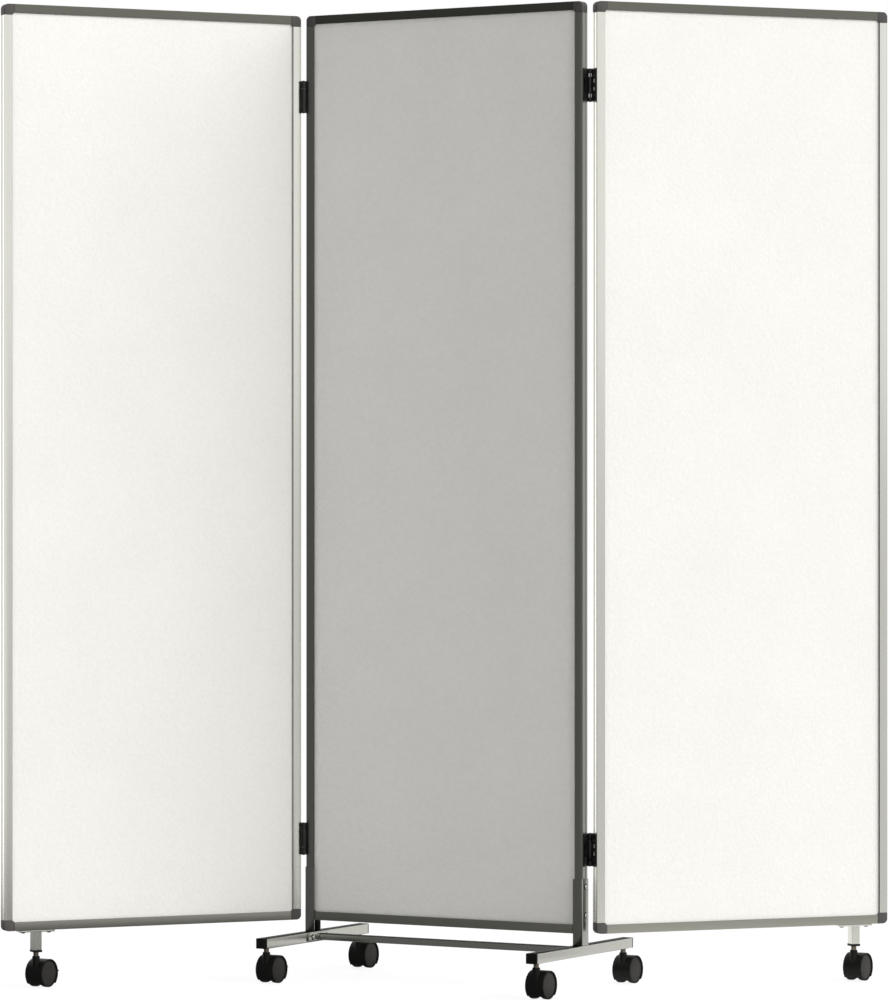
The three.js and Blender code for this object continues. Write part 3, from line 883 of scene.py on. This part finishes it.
# %% Knuckles and pin
LEAF_HALF = 30 * MM
KNUCKLE_RADIUS = 5 * MM
KNUCKLE_EDGE = 0.8 * MM
END_KNUCKLE = 8 * MM
MIDDLE_HALF = 15.5 * MM
PIN_RADIUS = 1.6 * MM
PIN_HALF = 30.8 * MM
PIN_EDGE = 0.6 * MM
END_BANDS = [(-LEAF_HALF, END_KNUCKLE - LEAF_HALF), (LEAF_HALF - END_KNUCKLE, LEAF_HALF)]
MIDDLE_BANDS = [(-MIDDLE_HALF, MIDDLE_HALF)]


def knuckle(bottom, top):
    """A sleeve round the pin."""
    points = [(PIN_RADIUS, bottom), (KNUCKLE_RADIUS, bottom), (KNUCKLE_RADIUS, top), (PIN_RADIUS, top)]
    return turned(points, {1: KNUCKLE_EDGE, 2: KNUCKLE_EDGE}, steps=32)


def hinge_pin():
    """The pin, which stands a little out of the knuckles at both ends."""
    points = [(0, -PIN_HALF), (PIN_RADIUS, -PIN_HALF), (PIN_RADIUS, PIN_HALF), (0, PIN_HALF)]
    return turned(points, {1: PIN_EDGE, 2: PIN_EDGE}, steps=24)


print("the pin stands out by", round((PIN_HALF - LEAF_HALF) / MM, 1), "mm")

# %% Cheeks
CHEEK_OUTER = 4.8 * MM
CHEEK_TOP = 21.95 * MM
CHEEK_HEIGHT = 6.4 * MM
CHEEK_OVERLAP = 0.25 * MM
CHEEK_STEPS = 24
# Where a cheek starts beside the leaf, how far it runs round the pin, and its inner radius
OPEN_CHEEK = (math.radians(20), math.radians(60), 2.95 * MM)
CLOSE_CHEEK = (math.radians(20), math.radians(60), 1.75 * MM)
LONG_CHEEK = (math.radians(8), math.radians(222), 3.3 * MM)


def cheek(side, gap, sweep, inner):
    """A piece of sleeve between two knuckles, which starts beside the leaf and runs round the pin."""
    start = -math.pi / 2 + side * gap
    around = arc(CHEEK_OUTER, start, side * sweep, CHEEK_STEPS)
    back = arc(inner, start, side * sweep, CHEEK_STEPS)[::-1]
    return raised(outline(around + back), CHEEK_HEIGHT)


print("the long cheek runs", round(math.degrees(LONG_CHEEK[1])), "degrees round the pin")

# %% Leaves
LEAF_THICKNESS = 2 * MM
LEAF_FACE = 2.7 * MM
LEAF_NEAR = 5.4 * MM
LEAF_FAR = 24.2 * MM
LEAF_CORNER = 2.5 * MM
LEAF_EDGE = 0.3 * MM
WINDOW_HALF = 11 * MM
WINDOWS = {-1: (14 * MM, 23.4 * MM), 1: (9.5 * MM, 19.5 * MM)}
BRIDGE_HALF = 3.6 * MM
OVERLAP = 1 * MM


def leaf(side, bands, bridged, cheek_shape):
    """A leaf on the -X or +X side of the axis, with knuckles at the given heights."""
    corners = [
        (-LEAF_FAR, -LEAF_HALF), (-LEAF_NEAR, -LEAF_HALF),
        (-LEAF_NEAR, LEAF_HALF), (-LEAF_FAR, LEAF_HALF),
    ]
    sheet = outline(corners, dict.fromkeys(range(4), LEAF_CORNER))
    inner = side * LEAF_FACE - LEAF_THICKNESS * (side > 0)
    outer = inner + LEAF_THICKNESS
    bm = moved(soften(raised(sheet, LEAF_THICKNESS), LEAF_EDGE), basis(Y, Z, X, (inner, 0, 0)))
    near, far = WINDOWS[side]
    bm = cut(bm, block((inner - OVERLAP, -far, -WINDOW_HALF), (outer + OVERLAP, -near, WINDOW_HALF)))
    if bridged:
        joined(bm, block((inner, -far - OVERLAP, -BRIDGE_HALF), (outer, OVERLAP - near, BRIDGE_HALF)))
    for bottom in (-CHEEK_TOP, CHEEK_TOP - CHEEK_HEIGHT) if cheek_shape else ():
        shift = CHEEK_OVERLAP * side * (-1 if bottom > 0 else 1)
        joined(bm, moved(cheek(side, *cheek_shape), Matrix.Translation((0, 0, bottom + shift))))
    for bottom, top in bands:
        neck = block((inner, -LEAF_NEAR - OVERLAP, bottom), (outer, -PIN_RADIUS, top))
        joined(bm, neck, knuckle(bottom, top))
    return bm


print("a leaf is", round(2 * LEAF_HALF / MM), "mm high")

# %% Four hinges
LEAF_SCREW_DROP = 20.5 * MM
LEAF_SCREW_INSET = 14.5 * MM
LEAF_SCREW_RADIUS = 3.2 * MM
LEAF_SCREW_HEIGHT = 0.5 * MM


def add_leaf(node, side, bm, body, place):
    """Puts two screws into a leaf and makes it a piece."""
    out = -side * X
    face = side * (LEAF_FACE - LEAF_THICKNESS)
    for drop in (-LEAF_SCREW_DROP, LEAF_SCREW_DROP):
        head = screw_head(LEAF_SCREW_RADIUS, LEAF_SCREW_HEIGHT)
        joined(bm, moved(head, basis(Z, out.cross(Z), out, (face, -LEAF_SCREW_INSET, drop))))
    add_piece(f"{node}_plate", bm, hinge_black, body, place, node)


for side, turn in (("left", math.pi), ("right", 0)):
    wing = f"{side}_wing"
    for level in ("lower", "upper"):
        hinge = f"{side}_{level}_hinge"
        low, high = measure(f"{hinge}_pin_leaf")
        at = Matrix.Translation((0, 0, (low.z + high.z) / 2)) @ Matrix.Rotation(turn, 4, "Z")
        fixed_at = Matrix.Translation((*joints[f"{wing}_fold"]["pos_m"][:2], 0)) @ at
        if side == "left":
            pin_cheek, wing_cheek = LONG_CHEEK, None
        else:
            pin_cheek = wing_cheek = OPEN_CHEEK if level == "upper" else CLOSE_CHEEK
        pin_leaf = joined(leaf(-1, END_BANDS, False, pin_cheek), hinge_pin())
        add_leaf(f"{hinge}_pin_leaf", -1, pin_leaf, "stand", fixed_at)
        wing_leaf = leaf(1, MIDDLE_BANDS, True, wing_cheek)
        add_leaf(f"{hinge}_wing_leaf", 1, wing_leaf, wing, axes[wing] @ at)
print("the upper hinges are at", round((low.z + high.z) / 2, 3), "m")

# %% [markdown]
# ## Casters
# A caster is a hood with two wheels on one axle. The hood is one section, a thin wall with rounded
# shoulders, that is spun round the axle from low behind the wheels, over the top, to low in front. A
# web between the wheels carries the axle, and a neck rises from the hood to the steel stem. The wheels are
# turned: a rubber tyre on a grey disc, which is slightly domed.
# Everything is made round the axle or round the stem, and the joints of the CAD model say where they are.

# %% Hood and web
HOOD_RADIUS = 26.8 * MM
HOOD_WALL = 1.2 * MM
HOOD_HALF = 18.6 * MM
HOOD_SHOULDER = 1 * MM
HOOD_START = math.radians(-45)
HOOD_SWEEP = math.radians(270)
WEB_HALF = 2.5 * MM
WEB_RADIUS = 18 * MM
WEB_START = math.radians(231)
WEB_SWEEP = math.radians(78)
WEB_EDGE = 0.5 * MM
HOOD_STEPS = 54
WEB_STEPS = 12


def hood():
    """The hood and its web round the axle, which lies along X."""
    inner = HOOD_RADIUS - HOOD_WALL
    points = [
        (-HOOD_HALF, inner), (HOOD_HALF, inner), (HOOD_HALF, HOOD_RADIUS), (-HOOD_HALF, HOOD_RADIUS),
    ]
    bm = moved(outline(points, {2: HOOD_SHOULDER, 3: HOOD_SHOULDER}), Matrix.Rotation(HOOD_START, 4, "X"))
    bmesh.ops.spin(
        bm, geom=bm.verts[:] + bm.edges[:] + bm.faces[:], cent=(0, 0, 0), axis=X, angle=HOOD_SWEEP,
        steps=HOOD_STEPS,
    )
    bmesh.ops.remove_doubles(bm, verts=bm.verts[:], dist=TINY)
    bmesh.ops.recalc_face_normals(bm, faces=bm.faces[:])
    over = arc(inner + HOOD_WALL / 2, HOOD_START, HOOD_SWEEP, HOOD_STEPS)
    under = arc(WEB_RADIUS, WEB_START, WEB_SWEEP, WEB_STEPS)
    web = soften(raised(outline(over + under), 2 * WEB_HALF), WEB_EDGE)
    return joined(bm, moved(web, basis(Y, Z, X, (-WEB_HALF, 0, 0))))


print("the hood and its web have", len(hood().faces), "faces")

# %% Neck and stem
# Radius and height above the axle, in millimetres
NECK_PROFILE = [(7.4, 0), (7.4, 7), (7.3, 16), (7.1, 24)]
NECK_RADIUS = 7 * MM
NECK_TOP = 58 * MM
NECK_ROUND = 1 * MM
# Radius and height above the floor, in millimetres
STEM_PROFILE = [(0, 56), (5, 56), (5, 65.2), (4, 65.2), (4, 75.2), (0, 75.2)]
COLLAR_ROUND = 0.5 * MM


def neck(base):
    """The neck round the stem, a little slimmer towards its top. It stands in the front of the hood."""
    side = [(radius * MM, base + height * MM) for radius, height in NECK_PROFILE]
    return turned([(0, base), *side, (NECK_RADIUS, NECK_TOP), (0, NECK_TOP)], {5: NECK_ROUND}, steps=36)


def stem():
    """The plated stem, with the collar that bears on the foot or the post's cap."""
    points = [(radius * MM, height * MM) for radius, height in STEM_PROFILE]
    return turned(points, {2: COLLAR_ROUND}, steps=28)


print("the stem ends", STEM_PROFILE[-1][1], "mm above the floor")

# %% Wheels
DISC_RADIUS = 22.6 * MM
DISC_EDGE = 0.6 * MM
# Shares of the disc's radius, and how far the dome has fallen there in millimetres
DOME_DROPS = [(1, 1.1), (0.7, 0.4), (0.35, 0.1)]
RIM_WIDTH = 5 * MM
RIM_DEPTH = 4 * MM
WHEEL_INNER = 3.1 * MM
WHEEL_OUTER = 17.4 * MM
TYRE_OUTER = 17.3 * MM
TYRE_BORE = 22.9 * MM
TYRE_BORE_ROUND = 0.4 * MM
TYRE_INNER_ROUND = 8 * MM
TYRE_OUTER_ROUND = 0.8 * MM
TYRE_DEPTH = 7 * MM
AXLE_RADIUS = 3 * MM
WHEEL_STEPS = 56


def tyre(radius):
    """A barrel-shaped tread. Its inner edge is well rounded, so the two treads part in a notch."""
    bed = radius - TYRE_DEPTH
    back = TYRE_OUTER - RIM_DEPTH
    points = [
        (bed, WHEEL_INNER), (radius, WHEEL_INNER), (radius, TYRE_OUTER), (TYRE_BORE, TYRE_OUTER),
        (TYRE_BORE, back), (bed, back),
    ]
    return turned(points, {1: TYRE_INNER_ROUND, 2: TYRE_OUTER_ROUND, 3: TYRE_BORE_ROUND}, WHEEL_STEPS)


def disc():
    """A wheel's disc with half of the axle, and a dome on its outer face."""
    hub = DISC_RADIUS - RIM_WIDTH
    back = WHEEL_OUTER - RIM_DEPTH
    dome = [(share * DISC_RADIUS, WHEEL_OUTER - drop * MM) for share, drop in DOME_DROPS]
    points = [
        (0, 0), (AXLE_RADIUS, 0), (AXLE_RADIUS, WHEEL_INNER), (hub, WHEEL_INNER), (hub, back),
        (DISC_RADIUS, back), *dome, (0, WHEEL_OUTER),
    ]
    return turned(points, {6: DISC_EDGE}, WHEEL_STEPS)


def pair(shape):
    """Two copies of a wheel part, back to back along X."""
    return joined(moved(shape.copy(), basis(Y, Z, X)), moved(shape, basis(-Y, Z, -X)))


print("a pair of wheels is", round(2 * WHEEL_OUTER / MM, 1), "mm wide")

# %% [markdown]
# ## Brakes
# Two of the casters have a brake. Its pedal sticks out behind the hood and turns on a barrel that lies
# in a slot of the hood, between two ears. The slot and the ears belong to the hood, so they are made
# before the hood becomes a piece. Three ridges give the pedal its grip.

# %% Ears and pedal
BARREL_RADIUS = 1.8 * MM
BRAKE_PIN_RADIUS = 1 * MM
PEDAL_HALF = 13 * MM
PEDAL_LENGTH = 12.5 * MM
PEDAL_THICKNESS = 2.2 * MM
PEDAL_SLOPE = math.radians(-7)
PEDAL_CORNER = 3 * MM
PEDAL_EDGE = 0.6 * MM
BARREL_EDGE = 0.3 * MM
RIDGE_SHARES = (0.45, 0.62, 0.79)
RIDGE_HALF = 0.75 * PEDAL_HALF
RIDGE_RADIUS = 0.5 * MM
RIDGE_EDGE = 0.2 * MM
EAR_RADIUS = 2.4 * MM
EAR_WIDTH = 2.2 * MM
EAR_EDGE = 0.5 * MM
RUNNING_GAP = 0.3 * MM
SLOT_END = PEDAL_HALF + RUNNING_GAP
BRAKE_PIN_END = SLOT_END + EAR_WIDTH


def crosswise(radius, half, edge=0.0):
    """A cylinder along X, half of it on each side."""
    rounds = {1: edge, 2: edge} if edge else None
    bm = turned([(0, -half), (radius, -half), (radius, half), (0, half)], rounds, steps=24)
    return moved(bm, basis(Y, Z, X))


def with_brake_seat(bm, pivot):
    """Cuts the slot for the barrel into a hood and puts the ears beside it, with a hole for the pin."""
    hole = BRAKE_PIN_RADIUS + RUNNING_GAP / 2
    at = Matrix.Translation(pivot)
    for radius, half in ((BARREL_RADIUS + RUNNING_GAP, SLOT_END), (hole, BRAKE_PIN_END + RUNNING_GAP)):
        bm = cut(bm, moved(crosswise(radius, half), at))
    for low, high in ((-BRAKE_PIN_END, -SLOT_END), (SLOT_END, BRAKE_PIN_END)):
        ring = [(hole, low), (EAR_RADIUS, low), (EAR_RADIUS, high), (hole, high)]
        ear = turned(ring, {1: EAR_EDGE, 2: EAR_EDGE}, steps=24)
        joined(bm, moved(ear, at @ basis(Y, Z, X)))
    return bm


def pedal():
    """A pedal round its pivot at the origin, with its tongue towards +Y."""
    tongue = outline([
        (-PEDAL_HALF, 0), (PEDAL_HALF, 0), (PEDAL_HALF, PEDAL_LENGTH), (-PEDAL_HALF, PEDAL_LENGTH),
    ], {2: PEDAL_CORNER, 3: PEDAL_CORNER})
    bm = soften(raised(tongue, PEDAL_THICKNESS), PEDAL_EDGE, segments=3)
    moved(bm, Matrix.Translation((0, 0, -PEDAL_THICKNESS / 2)))
    for share in RIDGE_SHARES:
        place = Matrix.Translation((0, share * PEDAL_LENGTH, PEDAL_THICKNESS / 2))
        joined(bm, moved(crosswise(RIDGE_RADIUS, RIDGE_HALF, RIDGE_EDGE), place))
    moved(bm, Matrix.Rotation(PEDAL_SLOPE, 4, "X"))
    barrel = crosswise(BARREL_RADIUS, PEDAL_HALF, BARREL_EDGE)
    return joined(bm, barrel, crosswise(BRAKE_PIN_RADIUS, BRAKE_PIN_END))


print("a pedal reaches", PEDAL_LENGTH / MM, "mm behind its barrel")

# %% Six casters
for name in ("left_front", "left_back", "right_front", "right_back", "left_wing", "right_wing"):
    swivel = Vector(joints[f"{name}_caster_swivel"]["pos_m"])
    axle = Vector(joints[f"{name}_caster_roll"]["pos_m"])
    to_swivel = Matrix.Translation((swivel.x, swivel.y, 0))
    to_axle = Matrix.Translation(axle)
    brake = joints.get(f"{name}_caster_brake")
    shell = hood()
    if brake:
        pivot = Vector(brake["pos_m"])
        shell = with_brake_seat(shell, pivot - axle)
        place = Matrix.Translation(pivot)
        node = f"{name}_caster_brake_pedal"
        add_piece(f"{node}_lever", pedal(), hood_black, f"{name}_brake", place, node)
    housing = joined(moved(shell, to_axle), moved(neck(axle.z), to_swivel))
    node = f"{name}_caster_housing"
    add_piece(f"{node}_hood", housing, hood_black, f"{name}_swivel", node=node)
    add_piece(f"{name}_caster_stem", stem(), brassy_steel, f"{name}_swivel", to_swivel)
    node = f"{name}_caster_wheels"
    add_piece(f"{node}_discs", pair(disc()), disc_grey, f"{name}_wheels", to_axle, node)
    add_piece(f"{node}_tyres", pair(tyre(axle.z)), tyre_black, f"{name}_wheels", to_axle, node)
print("the swivels stand", round(axle.y - swivel.y, 3), "m ahead of the axles")

# %% [markdown]
# ## Floor and light
# The background is plain white. It is only the colour that the camera and the reflections see: the
# world lights the object at a lower level, so that white boards keep their tone. The floor shows white
# too, with the soft shadow that its share of plain diffuse surface takes.
# The wings face a broad soft light from the right, which the middle panel only gets at a slant. A weaker
# light from behind keeps the back readable.
# Metal shows what stands round it, so four cards that only reflections see stand there too. The middle
# panel's rails mirror a dark one in front on the left, and a second one hides the left wing's white board
# from them. The wings' rails mirror a bright one on their narrow sides, and a grey one lies on the right.

# %% World
WORLD_LEVEL = 0.325
world = Finish(bpy.data.worlds.new("studio"))
scene.world = world.owner
world.owner.cycles.sampling_method = "NONE"
strength = WORLD_LEVEL + world.watched() * (1 - WORLD_LEVEL)
world.fill(world.tree.nodes["Background"], {"Color": (1, 1, 1, 1), "Strength": strength})
print("the world lights the object at", WORLD_LEVEL)

# %% Floor
FLOOR_RADIUS = 60
GLOWING_SHARE = 0.75
LIT_LEVEL = 0.49
FLOOR_DARKEST = (0.78, 0.78, 0.78)
FLOOR_LIGHTEST = (0.8, 0.8, 0.8)
STAGE_CLOUDS = 2
floor_finish = new_finish("floor_white")
clouds = floor_finish.even_noise(STAGE_CLOUDS)
floor_finish.surface({
    "Base Color": floor_finish.mix(FLOOR_DARKEST, FLOOR_LIGHTEST, clouds),
    "Roughness": 0.9,
    "Specular IOR Level": 0.0,
})
# The diffuse share shows at its lit level, and the glow makes up what is missing to white
strength = (1 - (1 - GLOWING_SHARE) * LIT_LEVEL) / GLOWING_SHARE
glow = floor_finish.node("ShaderNodeEmission", None, {"Strength": strength})
floor_finish.cover(floor_finish.watched() * GLOWING_SHARE, glow)
bm = bmesh.new()
bmesh.ops.create_circle(bm, cap_ends=True, segments=64, radius=FLOOR_RADIUS)
new_object("floor", bm, floor_finish.owner)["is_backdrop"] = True
print("the floor is a disc of", FLOOR_RADIUS, "m")


# %% Lights
def add_sun(name, direction, strength, spread, color=(1, 1, 1)):
    """A soft distant light that comes from a direction and is spread over some degrees."""
    data = bpy.data.lights.new(name, "SUN")
    data.energy = strength
    data.angle = math.radians(spread)
    data.color = color
    light = bpy.data.objects.new(name, data)
    light.rotation_mode = "QUATERNION"
    light.rotation_quaternion = Vector(direction).to_track_quat("Z", "Y")
    light.visible_glossy = False
    scene.collection.objects.link(light)


add_sun("key", (0.96, 0.1, 0.25), strength=3.4, spread=60, color=(1, 0.99, 0.96))
add_sun("back", (-0.6, 0.75, 0.3), strength=1.5, spread=40)

# %% Cards that only reflections see
CARD_DARKEST = (0, 0, 0)
CARD_LIGHTEST = (0.01, 0.01, 0.01)
CARD_LIFT = 4 * MM


def add_card(name, level, strips):
    """A dull card made of four-cornered strips. Only reflections see it, and only from its front."""
    finish = new_finish(name)
    clouds = finish.even_noise(STAGE_CLOUDS)
    finish.surface({
        "Base Color": finish.mix(CARD_DARKEST, CARD_LIGHTEST, clouds),
        "Roughness": 1.0,
        "Specular IOR Level": 0.0,
        "Emission Color": (1, 1, 1, 1),
        "Emission Strength": level,
    })
    behind = finish.node("ShaderNodeNewGeometry", output=6)
    finish.cover(behind, finish.node("ShaderNodeBsdfTransparent"))
    bm = bmesh.new()
    for strip in strips:
        bm.faces.new([bm.verts.new(point) for point in strip])
    card = new_object(name, bm, finish.owner)
    for ray in ("camera", "diffuse", "transmission", "shadow", "volume_scatter"):
        setattr(card, f"visible_{ray}", False)
    card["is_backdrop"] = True


def standing(start, end, low, high):
    """An upright strip that faces to the left of the way from its start to its end."""
    return [end + Z * low, start + Z * low, start + Z * high, end + Z * high]


def heading(degrees, half):
    """The direction at an angle from X, and half of a strip's width across it."""
    out = Matrix.Rotation(math.radians(degrees), 3, "Z") @ X
    return out, Z.cross(out) * half


def facing(degrees, far, half, high):
    """An upright strip that faces the screen from a distance."""
    out, side = heading(degrees, half)
    return standing(out * far - side, out * far + side, 0, high)


def along_floor(degrees, near, far, half, high):
    """A strip just over the floor that leads away from the screen, and one that stands at its end."""
    out, side = heading(degrees, half)
    start, end = (out * distance + Z * CARD_LIFT for distance in (near, far))
    return [[start + side, start - side, end - side, end + side], facing(degrees, far, half, high)]


print("a standing strip has", len(standing(X, Y, 0, 1)), "corners")

# %% Four cards
DARK_LEVEL = 0.165
GREY_LEVEL = 0.68
BRIGHT_LEVEL = 1.5
WING_CARD_NEAR = -4 * MM
WING_CARD_FAR = -590 * MM
WING_CARD_DEPTH = 3.8 * MM
wing_start, wing_end = (
    axes["left_wing"] @ Vector((x, WING_CARD_DEPTH, 0)) for x in (WING_CARD_NEAR, WING_CARD_FAR)
)
add_card("card_dark", DARK_LEVEL, along_floor(-121, near=-0.1, far=2.2, half=1.7, high=3.8))
add_card("card_wing", DARK_LEVEL, [standing(wing_start, wing_end, low=0.1, high=1.81)])
add_card("card_grey", GREY_LEVEL, along_floor(-8, near=1.1, far=3.4, half=1.6, high=1.1))
add_card("card_bright", BRIGHT_LEVEL, [facing(167, far=3.2, half=1.6, high=3.6)])
print("the dark card beside the wing is", round((wing_end - wing_start).length, 2), "m wide")

# %% [markdown]
# ## The size of the dressed screen
# The dressed screen is made to keep the CAD model's box, apart from a few millimetres. The sizes of
# both boxes are printed.

# %% Print both sizes
visual_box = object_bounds()
for name, (low, high) in (("CAD", cad_box), ("visual", visual_box)):
    print(name, [round((b - a) * 1000, 1) for a, b in zip(low, high)], "mm")
